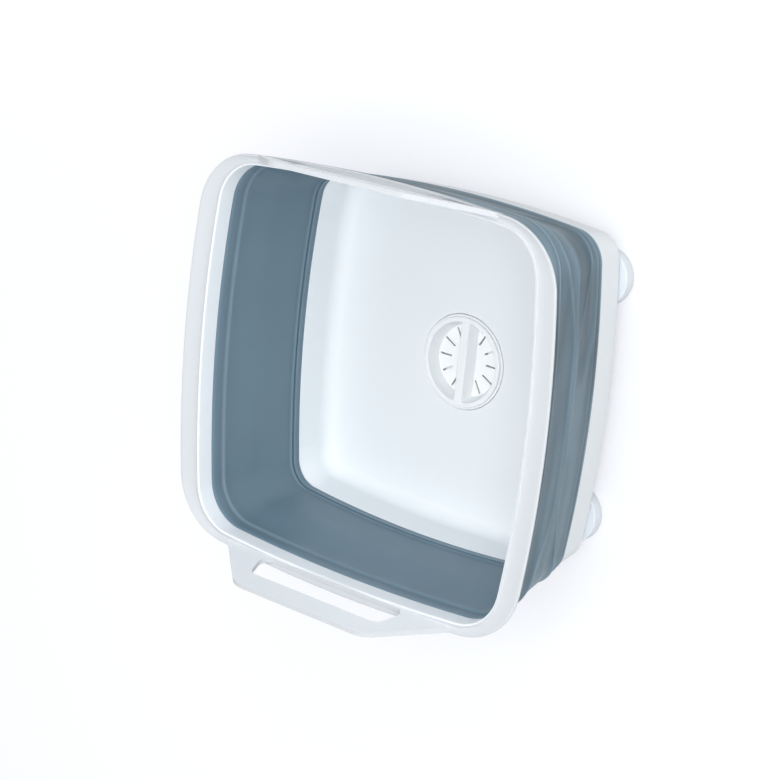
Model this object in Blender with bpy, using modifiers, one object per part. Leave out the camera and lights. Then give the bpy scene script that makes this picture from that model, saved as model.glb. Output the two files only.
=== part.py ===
"""Collapsible wash basin: a hard rim with two handles, a folding soft wall, a tray and a twist drain.

Metres, +Z up. The origin is on the floor, under the middle of the basin.
The handles stand on the front (-Y) and back (+Y) sides.
"""

import math
from collections import namedtuple

import bmesh
import bpy
from mathutils import Matrix, Vector

# Fits and fineness
GAP = 0.0003
CUT_OVERRUN = 0.0010
MERGE_DISTANCE = 0.00001
SIDE_STEPS = 3
CORNER_STEPS = 6
FILLET_STEPS = 4
EDGE_STEPS = 2
TURN_STEPS = 36
SMALL_TURN_STEPS = 24
SHARP_ANGLE = math.radians(35)
BEVEL_ANGLE = math.radians(60)

# Heights of the basin, from the floor up
FOOT_HEIGHT = 0.0108
TRAY_FLOOR = 0.0022
TRAY_DEPTH = 0.0292
WALL_HEIGHT = 0.0817
SKIRT_DEPTH = 0.0141

# Outline along the rim's raised bead
RIM_HALF_WIDTH = 0.1400
RIM_HALF_DEPTH = 0.1390
RIM_SIDE_BOW = 0.0115
RIM_END_BOW = 0.0076
RIM_CORNER_RADIUS = 0.0340

# Outline of the tray's inner face at its top edge
TRAY_HALF_WIDTH = 0.1250
TRAY_HALF_DEPTH = 0.1250
TRAY_BOW = 0.0094
TRAY_CORNER_RADIUS = 0.0200

# Rim
SKIRT_THICKNESS = 0.0026
BEAD_HEIGHT = 0.0008
FLANGE_SIDE_WIDTH = 0.0155
FLANGE_END_WIDTH = 0.0070
FLANGE_SIDE_BOW = 0.0125
FLANGE_END_BOW = 0.0110
FLANGE_CORNER_GROWTH = 0.0130
FLANGE_RISE = 0.0022
FLANGE_THICKNESS = 0.0022
FLANGE_EDGE_RADIUS = 0.0009

# Handles
HANDLE_TILT = math.radians(10.5)
HANDLE_THICKNESS = 0.0034
HANDLE_SET_OUT = 0.0009
HANDLE_HEIGHT = 0.0408
HANDLE_FOOT_HALF_WIDTH = 0.1020
HANDLE_TOP_HALF_WIDTH = 0.0570
HANDLE_CORNER_RADIUS = 0.0180
HANDLE_EDGE_RADIUS = 0.0010
HANDLE_SLOT_FOOT_HALF_WIDTH = 0.0650
HANDLE_SLOT_TOP_HALF_WIDTH = 0.0565
HANDLE_SLOT_HEIGHT = 0.0238
HANDLE_SLOT_CORNER_RADIUS = 0.0075
HANDLE_SLOT_SILL = 0.0006

# Soft wall
FOOT_BAND_HEIGHT = 0.0052
FOOT_BAND_THICKNESS = 0.0031
FOOT_STEP = 0.0015
FOOT_STEP_RISE = 0.0014
HEAD_BAND_HEIGHT = 0.0112
PANEL_THICKNESS = 0.0026
LAP_THICKNESS = 0.0016

# Outline along the inner face of the soft wall's fold
FOLD_HEIGHT = 0.0372
FOLD_HALF_WIDTH = 0.1326
FOLD_HALF_DEPTH = 0.1300
FOLD_SIDE_BOW = 0.0070
FOLD_END_BOW = 0.0084
FOLD_CORNER_RADIUS = 0.0270

# Tray
TRAY_WALL = 0.0022
TRAY_DRAFT = 0.0035
TRAY_FILLET = 0.0110
TRAY_EDGE_RADIUS = 0.0050
TONGUE_HEIGHT = 0.0032
TONGUE_THICKNESS = 0.0008
TONGUE_INSET = 0.0010
BOSS_DEPTH = 0.0025
BOSS_WIDTH = 0.0083

# Dial of the drain
DIAL_RADIUS = 0.0332
DIAL_PROUD = 0.0026
DIAL_FLANGE = 0.0017
DIAL_MOUTH_RADIUS = 0.0295
DIAL_WELL_RADIUS = 0.0265
DIAL_WELL_DEPTH = 0.0096
DIAL_WALL = 0.0013
DIAL_FLOOR = 0.0014
DIAL_EDGE_RADIUS = 0.0006
GRIP_WIDTH = 0.0066
GRIP_FOOT_WIDTH = 0.0124
GRIP_DROP = 0.0004
GRIP_EDGE_RADIUS = 0.0012

# Housing, seals, nut and rivet of the drain
HOUSING_LEDGE = 0.0016
HOUSING_FLANGE = 0.0016
HOUSING_WALL = 0.0013
HOUSING_FLOOR = 0.0013
HOUSING_CHAMFER = 0.0024
GASKET_THICKNESS = 0.0007
SEAL_THICKNESS = 0.0008
NUT_HEIGHT = 0.0034
NUT_WIDTH = 0.0068
NUT_NOTCHES = 6
NUT_NOTCH_WIDTH = 0.0060
NUT_NOTCH_DEPTH = 0.0018
DRAIN_SLOTS = 12
DRAIN_SLOT_INNER_RADIUS = 0.0152
DRAIN_SLOT_OUTER_RADIUS = 0.0252
DRAIN_SLOT_WIDTH = 0.0020
RIVET_SHANK_RADIUS = 0.0013
RIVET_SHANK_LENGTH = 0.0066
RIVET_TAPER = 0.0004
RIVET_HEAD_RADIUS = 0.0036
RIVET_HEAD = 0.0009

# Feet
FOOT_RADIUS = 0.0240
FOOT_EDGE_RADIUS = 0.0025
FOOT_SETBACK_X = 0.0220
FOOT_SETBACK_Y = 0.0395
STUD_RADIUS = 0.0060
STUD_LENGTH = 0.0068

# Levels of the basin
TRAY_UNDERSIDE_Z = FOOT_HEIGHT
FLOOR_Z = TRAY_UNDERSIDE_Z + TRAY_FLOOR
TRAY_TOP_Z = FLOOR_Z + TRAY_DEPTH
BAND_TOP_Z = TRAY_TOP_Z + FOOT_BAND_HEIGHT
FOLD_Z = TRAY_TOP_Z + FOLD_HEIGHT
SKIRT_FOOT_Z = TRAY_TOP_Z + WALL_HEIGHT
HEAD_BAND_Z = SKIRT_FOOT_Z - HEAD_BAND_HEIGHT
BEAD_Z = SKIRT_FOOT_Z + SKIRT_DEPTH
FLANGE_Z = BEAD_Z - BEAD_HEIGHT
FLANGE_UNDERSIDE_Z = FLANGE_Z - FLANGE_THICKNESS
FLANGE_EDGE_Z = FLANGE_Z + FLANGE_RISE
FLANGE_EDGE_UNDERSIDE_Z = FLANGE_EDGE_Z - FLANGE_THICKNESS

# Levels of the drain
DIAL_TOP_Z = FLOOR_Z + DIAL_PROUD
DIAL_FLANGE_Z = DIAL_TOP_Z - DIAL_FLANGE
WELL_Z = DIAL_TOP_Z - DIAL_WELL_DEPTH
DIAL_UNDERSIDE_Z = WELL_Z - DIAL_FLOOR
GRIP_TOP_Z = DIAL_TOP_Z - GRIP_DROP
HOUSING_TOP_Z = DIAL_FLANGE_Z - GAP
HOUSING_FLANGE_Z = HOUSING_TOP_Z - HOUSING_FLANGE
GASKET_TOP_Z = HOUSING_FLANGE_Z - GAP
RECESS_Z = GASKET_TOP_Z - GASKET_THICKNESS - GAP
SEAL_TOP_Z = DIAL_UNDERSIDE_Z - GAP
SEAL_UNDERSIDE_Z = SEAL_TOP_Z - SEAL_THICKNESS
HOUSING_FLOOR_Z = SEAL_UNDERSIDE_Z - GAP
HOUSING_UNDERSIDE_Z = HOUSING_FLOOR_Z - HOUSING_FLOOR
BOSS_Z = TRAY_UNDERSIDE_Z - BOSS_DEPTH
NUT_TOP_Z = BOSS_Z - GAP
RIVET_HEAD_Z = HOUSING_UNDERSIDE_Z - GAP
RIVET_TIP_Z = RIVET_HEAD_Z + RIVET_SHANK_LENGTH

# Radii of the drain
DIAL_CUP_RADIUS = DIAL_MOUTH_RADIUS + DIAL_WALL
DIAL_CUP_FOOT_RADIUS = DIAL_WELL_RADIUS + DIAL_WALL
HOUSING_MOUTH_RADIUS = DIAL_CUP_RADIUS + GAP
HOUSING_WELL_RADIUS = DIAL_CUP_FOOT_RADIUS + GAP
HOUSING_RADIUS = HOUSING_MOUTH_RADIUS + HOUSING_WALL
HOUSING_FOOT_RADIUS = HOUSING_WELL_RADIUS + HOUSING_WALL
HOUSING_FLANGE_RADIUS = DIAL_RADIUS + HOUSING_LEDGE
SEAL_RADIUS = HOUSING_WELL_RADIUS - GAP
DRAIN_HOLE_RADIUS = HOUSING_RADIUS + GAP
RECESS_RADIUS = HOUSING_FLANGE_RADIUS + GAP
BOSS_RADIUS = DRAIN_HOLE_RADIUS + BOSS_WIDTH
NUT_RADIUS = DRAIN_HOLE_RADIUS + NUT_WIDTH
RIVET_HOLE_RADIUS = RIVET_SHANK_RADIUS + GAP

FOOT_PLACES = {
    "foot_front_left": (-1, -1),
    "foot_front_right": (1, -1),
    "foot_back_left": (-1, 1),
    "foot_back_right": (1, 1),
}
FOOT_X = TRAY_HALF_WIDTH - FOOT_SETBACK_X
FOOT_Y = TRAY_HALF_DEPTH - FOOT_SETBACK_Y

# A square with bowed sides and round corners. Each bow is measured over the whole side:
# bow_x is that of the two sides that face X, and bow_y that of the two that face Y.
Outline = namedtuple("Outline", "half_x half_y bow_x bow_y radius")


def grown(outline, amount):
    """The outline moved outward by an amount."""
    half_x = outline.half_x + amount
    half_y = outline.half_y + amount
    return Outline(
        half_x,
        half_y,
        outline.bow_x * (half_y / outline.half_y) ** 2,
        outline.bow_y * (half_x / outline.half_x) ** 2,
        outline.radius + amount,
    )


def blended(low, high, share):
    """The outline at a share of the way from low to high."""
    return Outline(*(a + (b - a) * share for a, b in zip(low, high)))


BEAD_RADIUS = SKIRT_THICKNESS / 2
RIM_LINE = Outline(RIM_HALF_WIDTH, RIM_HALF_DEPTH, RIM_SIDE_BOW, RIM_END_BOW, RIM_CORNER_RADIUS)
SKIRT_LINE = grown(RIM_LINE, -BEAD_RADIUS)
FLANGE_LINE = Outline(
    RIM_HALF_WIDTH + FLANGE_SIDE_WIDTH,
    RIM_HALF_DEPTH + FLANGE_END_WIDTH,
    FLANGE_SIDE_BOW,
    FLANGE_END_BOW,
    RIM_CORNER_RADIUS + FLANGE_CORNER_GROWTH,
)
TRAY_LINE = Outline(TRAY_HALF_WIDTH, TRAY_HALF_DEPTH, TRAY_BOW, TRAY_BOW, TRAY_CORNER_RADIUS)
FOLD_LINE = Outline(
    FOLD_HALF_WIDTH,
    FOLD_HALF_DEPTH,
    FOLD_SIDE_BOW,
    FOLD_END_BOW,
    FOLD_CORNER_RADIUS,
)


def arc(centre, radius, start, end, steps):
    """Points along an arc, both ends among them."""
    points = []
    for step in range(steps + 1):
        angle = start + (end - start) * step / steps
        points.append(Vector(centre) + radius * Vector((math.cos(angle), math.sin(angle))))
    return points


def quarter_points(outline):
    """The outline's points from +X to +Y: half a side, a corner and half a side."""
    side_radius = (outline.half_y**2 + outline.bow_x**2) / (2 * outline.bow_x)
    end_radius = (outline.half_x**2 + outline.bow_y**2) / (2 * outline.bow_y)
    side_centre = Vector((outline.half_x - side_radius, 0))
    end_centre = Vector((0, outline.half_y - end_radius))
    # The corner's centre is where both sides, moved in by the corner radius, cross
    side_reach = side_radius - outline.radius
    end_reach = end_radius - outline.radius
    between = end_centre - side_centre
    along = (side_reach**2 - end_reach**2 + between.length_squared) / (2 * between.length)
    across = math.sqrt(side_reach**2 - along**2)
    direction = between.normalized()
    normal = Vector((-direction.y, direction.x))
    crossings = [side_centre + along * direction + turn * across * normal for turn in (-1, 1)]
    corner = max(crossings, key=lambda point: point.x + point.y)
    corner_start = math.atan2(corner.y - side_centre.y, corner.x - side_centre.x)
    corner_end = math.atan2(corner.y - end_centre.y, corner.x - end_centre.x)
    side = arc(side_centre, side_radius, 0, corner_start, SIDE_STEPS)
    bend = arc(corner, outline.radius, corner_start, corner_end, CORNER_STEPS)
    end = arc(end_centre, end_radius, corner_end, math.pi / 2, SIDE_STEPS)
    return side[:-1] + bend[:-1] + end


def ring(outline, z):
    """The whole outline at a height, as a closed ring of points."""
    quarter = quarter_points(outline)
    half = quarter + [Vector((-point.x, point.y)) for point in reversed(quarter[:-1])]
    whole = half + [Vector((point.x, -point.y)) for point in reversed(half[1:-1])]
    return [Vector((point.x, point.y, z)) for point in whole]


def round_ring(radius, z):
    """A circle with its points in the directions of the tray's outline."""
    circle = [point.normalized() * radius for point in ring(TRAY_LINE, 0)]
    return [Vector((point.x, point.y, z)) for point in circle]


def rings_along(outline, section):
    """Rings at the section's points, each an offset from the outline and a height."""
    return [ring(grown(outline, offset), z) for offset, z in section]


def clear_scene():
    """Remove what the opened file holds."""
    for thing in list(bpy.data.objects):
        bpy.data.objects.remove(thing, do_unlink=True)


def new_collection(name):
    """Make a collection in the scene."""
    collection = bpy.data.collections.new(name)
    bpy.context.scene.collection.children.link(collection)
    return collection


def plastic(name, colour, roughness):
    """A plastic or rubber material."""
    material = bpy.data.materials.new(name)
    material.use_nodes = True
    shader = material.node_tree.nodes["Principled BSDF"]
    shader.inputs["Base Color"].default_value = (*colour, 1)
    shader.inputs["Roughness"].default_value = roughness
    shader.inputs["Metallic"].default_value = 0
    material.diffuse_color = (*colour, 1)
    return material


def add_part(name, mesh, material):
    """Put a mesh in the scene as a sub-part, shaded smooth with its sharp edges kept."""
    mesh.materials.append(material)
    mesh.shade_smooth()
    mesh.set_sharp_from_angle(angle=SHARP_ANGLE)
    part = bpy.data.objects.new(name, mesh)
    PARTS.objects.link(part)
    return part


def add_cutter(name, mesh):
    """Put a mesh in the scene as a shape that cuts or joins others."""
    cutter = bpy.data.objects.new(name, mesh)
    cutter.hide_render = True
    cutter.display_type = "WIRE"
    CUTTERS.objects.link(cutter)
    return cutter


def join(part, other, operation):
    """Cut one solid with another, or join them."""
    modifier = part.modifiers.new(other.name, "BOOLEAN")
    modifier.operation = operation
    modifier.solver = "EXACT"
    modifier.object = other
    return part


def loft(name, rings):
    """A closed mesh through rings that go once round its section."""
    shape = bmesh.new()
    rows = [[shape.verts.new(point) for point in points] for points in rings]
    for row, following in zip(rows, rows[1:] + rows[:1]):
        for index, corner in enumerate(row):
            ahead = (index + 1) % len(row)
            shape.faces.new((corner, row[ahead], following[ahead], following[index]))
    bmesh.ops.recalc_face_normals(shape, faces=shape.faces)
    mesh = bpy.data.meshes.new(name)
    shape.to_mesh(mesh)
    shape.free()
    return mesh


def profile_mesh(name, profile, closed):
    """A line of edges in the XZ plane, from pairs of radius and height."""
    points = [(radius, 0, z) for radius, z in profile]
    edges = [(index, index + 1) for index in range(len(points) - 1)]
    if closed:
        edges.append((len(points) - 1, 0))
    mesh = bpy.data.meshes.new(name)
    mesh.from_pydata(points, edges, [])
    return mesh


def turn(thing, steps):
    """Turn a profile once round the Z axis."""
    screw = thing.modifiers.new("turn", "SCREW")
    screw.angle = math.radians(360)
    screw.steps = steps
    screw.render_steps = steps
    screw.use_merge_vertices = True
    screw.merge_threshold = MERGE_DISTANCE
    screw.use_smooth_shade = True
    return thing


def turned_part(name, profile, material, closed=False, steps=TURN_STEPS):
    """A turned sub-part, whose profile runs down its outer side."""
    return turn(add_part(name, profile_mesh(name, profile, closed), material), steps)


def turned_cutter(name, profile, steps=TURN_STEPS):
    """A turned shape that cuts or joins others."""
    return turn(add_cutter(name, profile_mesh(name, profile, closed=False)), steps)


def hollow_profile(inner, outer, low, high):
    """The closed profile of a plain ring."""
    return [(outer, high), (outer, low), (inner, low), (inner, high)]


def rod_profile(radius, low, high):
    """The profile of a plain rod."""
    return [(0, high), (radius, high), (radius, low), (0, low)]


def rounded(corners):
    """A closed outline from corners, each given as x, y and its own radius."""
    outline = []
    for index, (x, y, radius) in enumerate(corners):
        corner = Vector((x, y, 0))
        if radius == 0:
            outline.append(corner)
            continue
        before = (Vector((*corners[index - 1][:2], 0)) - corner).normalized()
        after = (Vector((*corners[(index + 1) % len(corners)][:2], 0)) - corner).normalized()
        half_angle = before.angle(after) / 2
        centre = corner + (before + after).normalized() * radius / math.sin(half_angle)
        reach = radius / math.tan(half_angle)
        first = (corner + before * reach - centre).normalized()
        last = (corner + after * reach - centre).normalized()
        for step in range(FILLET_STEPS + 1):
            outline.append(centre + radius * first.slerp(last, step / FILLET_STEPS))
    return outline


def plate_cutter(name, outlines, thickness, edge_radius=0):
    """A flat plate from closed outlines, the later ones being its holes."""
    curve = bpy.data.curves.new(name, "CURVE")
    curve.dimensions = "2D"
    curve.fill_mode = "BOTH"
    curve.extrude = thickness / 2
    for outline in outlines:
        spline = curve.splines.new("POLY")
        spline.points.add(len(outline) - 1)
        for point, place in zip(spline.points, outline):
            point.co = (*place, 1)
        spline.use_cyclic_u = True
    drawn = bpy.data.objects.new(name, curve)
    CUTTERS.objects.link(drawn)
    mesh = bpy.data.meshes.new_from_object(drawn.evaluated_get(bpy.context.evaluated_depsgraph_get()))
    bpy.data.objects.remove(drawn, do_unlink=True)
    shape = bmesh.new()
    shape.from_mesh(mesh)
    bmesh.ops.remove_doubles(shape, verts=shape.verts, dist=MERGE_DISTANCE)
    shape.to_mesh(mesh)
    shape.free()
    plate = add_cutter(name, mesh)
    if edge_radius:
        bevel = plate.modifiers.new("edges", "BEVEL")
        bevel.width = edge_radius
        bevel.segments = EDGE_STEPS
        bevel.limit_method = "ANGLE"
        bevel.angle_limit = BEVEL_ANGLE
    return plate


def spoke_cutter(name, spokes, count, inner, outer, width, low, high):
    """Boxes that point away from the Z axis, at the named spokes of a round."""
    shape = bmesh.new()
    for spoke in spokes:
        box = bmesh.ops.create_cube(shape, size=1)["verts"]
        bmesh.ops.scale(shape, vec=(outer - inner, width, high - low), verts=box)
        bmesh.ops.translate(shape, vec=((outer + inner) / 2, 0, (low + high) / 2), verts=box)
        turned = Matrix.Rotation(math.radians(360) * spoke / count, 3, "Z")
        bmesh.ops.rotate(shape, cent=(0, 0, 0), matrix=turned, verts=box)
    mesh = bpy.data.meshes.new(name)
    shape.to_mesh(mesh)
    shape.free()
    return add_cutter(name, mesh)


def handle_plate(name, side):
    """The handle at one end: a trapezoid plate with a finger slot, leaning outward."""
    root = -BEAD_HEIGHT - FLANGE_THICKNESS / 2
    edge = [
        (-HANDLE_FOOT_HALF_WIDTH, root, 0),
        (HANDLE_FOOT_HALF_WIDTH, root, 0),
        (HANDLE_TOP_HALF_WIDTH, HANDLE_HEIGHT, HANDLE_CORNER_RADIUS),
        (-HANDLE_TOP_HALF_WIDTH, HANDLE_HEIGHT, HANDLE_CORNER_RADIUS),
    ]
    slot_top = HANDLE_SLOT_SILL + HANDLE_SLOT_HEIGHT
    slot = [
        (-HANDLE_SLOT_FOOT_HALF_WIDTH, HANDLE_SLOT_SILL, HANDLE_SLOT_CORNER_RADIUS),
        (HANDLE_SLOT_FOOT_HALF_WIDTH, HANDLE_SLOT_SILL, HANDLE_SLOT_CORNER_RADIUS),
        (HANDLE_SLOT_TOP_HALF_WIDTH, slot_top, HANDLE_SLOT_CORNER_RADIUS),
        (-HANDLE_SLOT_TOP_HALF_WIDTH, slot_top, HANDLE_SLOT_CORNER_RADIUS),
    ]
    plate = plate_cutter(name, [rounded(edge), rounded(slot)], HANDLE_THICKNESS, HANDLE_EDGE_RADIUS)
    plate.location = (0, side * (RIM_HALF_DEPTH + HANDLE_SET_OUT), BEAD_Z)
    facing = 0 if side > 0 else math.pi
    plate.rotation_euler = (math.radians(90) - HANDLE_TILT, 0, facing)
    return plate


def make_rim(material):
    """The hard rim: skirt, raised bead, flange and the two handles, in one moulding."""
    bead_centre = (0, BEAD_Z - BEAD_RADIUS)
    bead_end = math.asin(1 - BEAD_HEIGHT / BEAD_RADIUS)
    bead = arc(bead_centre, BEAD_RADIUS, math.pi, bead_end, FILLET_STEPS)
    edge_top = (-FLANGE_EDGE_RADIUS, FLANGE_EDGE_Z - FLANGE_EDGE_RADIUS)
    edge_foot = (-FLANGE_EDGE_RADIUS, FLANGE_EDGE_UNDERSIDE_Z + FLANGE_EDGE_RADIUS)
    edge = arc(edge_top, FLANGE_EDGE_RADIUS, math.pi / 2, 0, EDGE_STEPS)
    edge += arc(edge_foot, FLANGE_EDGE_RADIUS, 0, -math.pi / 2, EDGE_STEPS)
    rings = rings_along(RIM_LINE, [(-BEAD_RADIUS, SKIRT_FOOT_Z), *bead])
    rings += rings_along(FLANGE_LINE, edge)
    rings += rings_along(RIM_LINE, [(BEAD_RADIUS, FLANGE_UNDERSIDE_Z), (BEAD_RADIUS, SKIRT_FOOT_Z)])
    rim = add_part("rim_frame", loft("rim_frame", rings), material)
    join(rim, handle_plate("handle_front_plate", -1), "UNION")
    join(rim, handle_plate("handle_back_plate", 1), "UNION")
    return rim


def wall_line(z, thickness):
    """The soft wall's outline at a height, at a distance out from its inner face."""
    if z < FOLD_Z:
        share = (z - BAND_TOP_Z) / (FOLD_Z - BAND_TOP_Z)
        line = blended(grown(TRAY_LINE, FOOT_STEP), FOLD_LINE, share)
    else:
        share = (z - FOLD_Z) / (HEAD_BAND_Z - FOLD_Z)
        line = blended(FOLD_LINE, SKIRT_LINE, share)
    return ring(grown(line, thickness), z)


def make_upper_wall(material):
    """The soft wall above its fold line, which laps the outside of the rim's skirt."""
    fold = FOLD_Z + GAP / 2
    seat = SKIRT_FOOT_Z - GAP
    lap_inner = SKIRT_THICKNESS + GAP
    lap_outer = lap_inner + LAP_THICKNESS
    lap = [
        (0, seat),
        (lap_inner, seat),
        (lap_inner, FLANGE_UNDERSIDE_Z - GAP),
        (lap_outer, FLANGE_UNDERSIDE_Z - GAP),
        (lap_outer, seat),
    ]
    rings = [wall_line(fold, 0), wall_line(HEAD_BAND_Z, 0)]
    rings += rings_along(SKIRT_LINE, lap)
    rings += [wall_line(HEAD_BAND_Z, PANEL_THICKNESS), wall_line(fold, PANEL_THICKNESS)]
    return add_part("soft_wall_upper", loft("soft_wall_upper", rings), material)


def make_lower_wall(material):
    """The soft wall below its fold line, which grips the tray's tongue and turns inside out."""
    fold = FOLD_Z - GAP / 2
    foot = TRAY_TOP_Z + GAP
    step_z = BAND_TOP_Z + FOOT_STEP_RISE
    groove_inner = TONGUE_INSET - GAP
    groove_outer = TONGUE_INSET + TONGUE_THICKNESS + GAP
    groove_top = TRAY_TOP_Z + TONGUE_HEIGHT + GAP
    inner = [(groove_inner, groove_top), (groove_inner, foot), (0, foot), (0, BAND_TOP_Z)]
    outer = [(FOOT_BAND_THICKNESS, BAND_TOP_Z), (FOOT_BAND_THICKNESS, foot)]
    groove = [(groove_outer, foot), (groove_outer, groove_top)]
    rings = rings_along(TRAY_LINE, inner)
    rings += [wall_line(step_z, 0), wall_line(fold, 0)]
    rings += [wall_line(fold, PANEL_THICKNESS), wall_line(step_z, PANEL_THICKNESS)]
    rings += rings_along(TRAY_LINE, outer + groove)
    return add_part("soft_wall_fold", loft("soft_wall_fold", rings), material)


def stud_cutter():
    """The four studs under the tray that hold its feet."""
    shape = bmesh.new()
    low = TRAY_UNDERSIDE_Z - STUD_LENGTH
    high = TRAY_UNDERSIDE_Z + TRAY_FLOOR / 2
    for side_x, side_y in FOOT_PLACES.values():
        middle = Matrix.Translation((side_x * FOOT_X, side_y * FOOT_Y, (low + high) / 2))
        bmesh.ops.create_cone(
            shape,
            cap_ends=True,
            segments=SMALL_TURN_STEPS,
            radius1=STUD_RADIUS,
            radius2=STUD_RADIUS,
            depth=high - low,
            matrix=middle,
        )
    mesh = bpy.data.meshes.new("foot_studs")
    shape.to_mesh(mesh)
    shape.free()
    return add_cutter("foot_studs", mesh)


def make_tray(material):
    """The hard tray: floor, low wall with a tongue, drain hole with a boss, and foot studs."""
    floor_corner = -TRAY_DRAFT - TRAY_FILLET
    fillet = arc((floor_corner, FLOOR_Z + TRAY_FILLET), TRAY_FILLET, -math.pi / 2, 0, FILLET_STEPS)
    tongue_outer = TONGUE_INSET + TONGUE_THICKNESS
    tongue_top = TRAY_TOP_Z + TONGUE_HEIGHT
    lip = [
        (0, TRAY_TOP_Z),
        (TONGUE_INSET, TRAY_TOP_Z),
        (TONGUE_INSET, tongue_top),
        (tongue_outer, tongue_top),
        (tongue_outer, TRAY_TOP_Z),
        (TRAY_WALL, TRAY_TOP_Z),
    ]
    edge_centre = (TRAY_WALL - TRAY_DRAFT - TRAY_EDGE_RADIUS, TRAY_UNDERSIDE_Z + TRAY_EDGE_RADIUS)
    edge = arc(edge_centre, TRAY_EDGE_RADIUS, 0, -math.pi / 2, EDGE_STEPS)
    rings = [
        round_ring(DRAIN_HOLE_RADIUS, BOSS_Z),
        round_ring(DRAIN_HOLE_RADIUS, RECESS_Z),
        round_ring(RECESS_RADIUS, RECESS_Z),
        round_ring(RECESS_RADIUS, FLOOR_Z),
    ]
    rings += rings_along(TRAY_LINE, [*fillet, *lip, *edge])
    rings += [round_ring(BOSS_RADIUS, TRAY_UNDERSIDE_Z), round_ring(BOSS_RADIUS, BOSS_Z)]
    tray = add_part("base_tray", loft("base_tray", rings), material)
    return join(tray, stud_cutter(), "UNION")


def make_foot(name, side_x, side_y, material):
    """A round foot pad with a blind socket for the tray's stud."""
    top = FOOT_HEIGHT - GAP
    socket_radius = STUD_RADIUS + GAP
    socket_floor = TRAY_UNDERSIDE_Z - STUD_LENGTH - GAP
    edge_centre = (FOOT_RADIUS - FOOT_EDGE_RADIUS, FOOT_EDGE_RADIUS)
    edge = arc(edge_centre, FOOT_EDGE_RADIUS, 0, -math.pi / 2, EDGE_STEPS)
    profile = [(0, socket_floor), (socket_radius, socket_floor), (socket_radius, top)]
    profile += [(FOOT_RADIUS, top), *edge, (0, 0)]
    foot = turned_part(name, profile, material, steps=SMALL_TURN_STEPS)
    foot.location = (side_x * FOOT_X, side_y * FOOT_Y, 0)
    return foot


def slot_cutter(name, slots, low, high):
    """The drain's radial slots through one of its floors."""
    return spoke_cutter(
        name,
        slots,
        DRAIN_SLOTS,
        DRAIN_SLOT_INNER_RADIUS,
        DRAIN_SLOT_OUTER_RADIUS,
        DRAIN_SLOT_WIDTH,
        low - CUT_OVERRUN,
        high + CUT_OVERRUN,
    )


def grip_bar():
    """The bar across the dial, along Y, cut off within the dial's wall."""
    half_width = GRIP_WIDTH / 2
    half_foot = GRIP_FOOT_WIDTH / 2
    root = WELL_Z - DIAL_FLOOR / 2
    section = [
        (-half_foot, root, 0),
        (half_foot, root, 0),
        (half_foot, WELL_Z, 0),
        (half_width, GRIP_TOP_Z, GRIP_EDGE_RADIUS),
        (-half_width, GRIP_TOP_Z, GRIP_EDGE_RADIUS),
        (-half_foot, WELL_Z, 0),
    ]
    bar = plate_cutter("grip_bar", [rounded(section)], 2 * DIAL_RADIUS)
    bar.rotation_euler = (math.radians(90), 0, 0)
    reach = DIAL_MOUTH_RADIUS + DIAL_WALL / 2
    foot_reach = DIAL_WELL_RADIUS + DIAL_WALL / 2
    envelope = [(0, DIAL_TOP_Z), (reach, DIAL_TOP_Z), (foot_reach, WELL_Z), (foot_reach, DIAL_UNDERSIDE_Z)]
    join(bar, turned_cutter("grip_envelope", [*envelope, (0, DIAL_UNDERSIDE_Z)]), "INTERSECT")
    return bar


def make_dial(material):
    """The twist dial: a ring, a slotted cup and a grip bar. It turns about Z."""
    inner_edge = (DIAL_MOUTH_RADIUS + DIAL_EDGE_RADIUS, DIAL_TOP_Z - DIAL_EDGE_RADIUS)
    outer_edge = (DIAL_RADIUS - DIAL_EDGE_RADIUS, DIAL_TOP_Z - DIAL_EDGE_RADIUS)
    profile = [(0, WELL_Z), (DIAL_WELL_RADIUS, WELL_Z)]
    profile += arc(inner_edge, DIAL_EDGE_RADIUS, math.pi, math.pi / 2, EDGE_STEPS)
    profile += arc(outer_edge, DIAL_EDGE_RADIUS, math.pi / 2, 0, EDGE_STEPS)
    profile += [(DIAL_RADIUS, DIAL_FLANGE_Z), (DIAL_CUP_RADIUS, DIAL_FLANGE_Z)]
    profile += [(DIAL_CUP_FOOT_RADIUS, DIAL_UNDERSIDE_Z), (0, DIAL_UNDERSIDE_Z)]
    dial = turned_part("drain_dial", profile, material)
    join(dial, grip_bar(), "UNION")
    # The two slots on the Y axis would lie under the bar
    open_slots = [slot for slot in range(DRAIN_SLOTS) if slot % (DRAIN_SLOTS // 2) != DRAIN_SLOTS // 4]
    join(dial, slot_cutter("dial_slots", open_slots, DIAL_UNDERSIDE_Z, WELL_Z), "DIFFERENCE")
    bore = rod_profile(RIVET_HOLE_RADIUS, DIAL_UNDERSIDE_Z - CUT_OVERRUN, RIVET_TIP_Z + GAP)
    return join(dial, turned_cutter("rivet_bore", bore, SMALL_TURN_STEPS), "DIFFERENCE")


def make_housing(material):
    """The drain's fixed cup, which hangs in the tray's hole by its flange."""
    profile = [
        (RIVET_HOLE_RADIUS, HOUSING_FLOOR_Z),
        (HOUSING_WELL_RADIUS, HOUSING_FLOOR_Z),
        (HOUSING_MOUTH_RADIUS, HOUSING_TOP_Z),
        (HOUSING_FLANGE_RADIUS, HOUSING_TOP_Z),
        (HOUSING_FLANGE_RADIUS, HOUSING_FLANGE_Z),
        (HOUSING_RADIUS, HOUSING_FLANGE_Z),
        (HOUSING_RADIUS, HOUSING_UNDERSIDE_Z + HOUSING_CHAMFER),
        (HOUSING_FOOT_RADIUS, HOUSING_UNDERSIDE_Z),
        (RIVET_HOLE_RADIUS, HOUSING_UNDERSIDE_Z),
    ]
    housing = turned_part("drain_housing", profile, material, closed=True)
    slots = slot_cutter("housing_slots", range(DRAIN_SLOTS), HOUSING_UNDERSIDE_Z, HOUSING_FLOOR_Z)
    return join(housing, slots, "DIFFERENCE")


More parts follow.
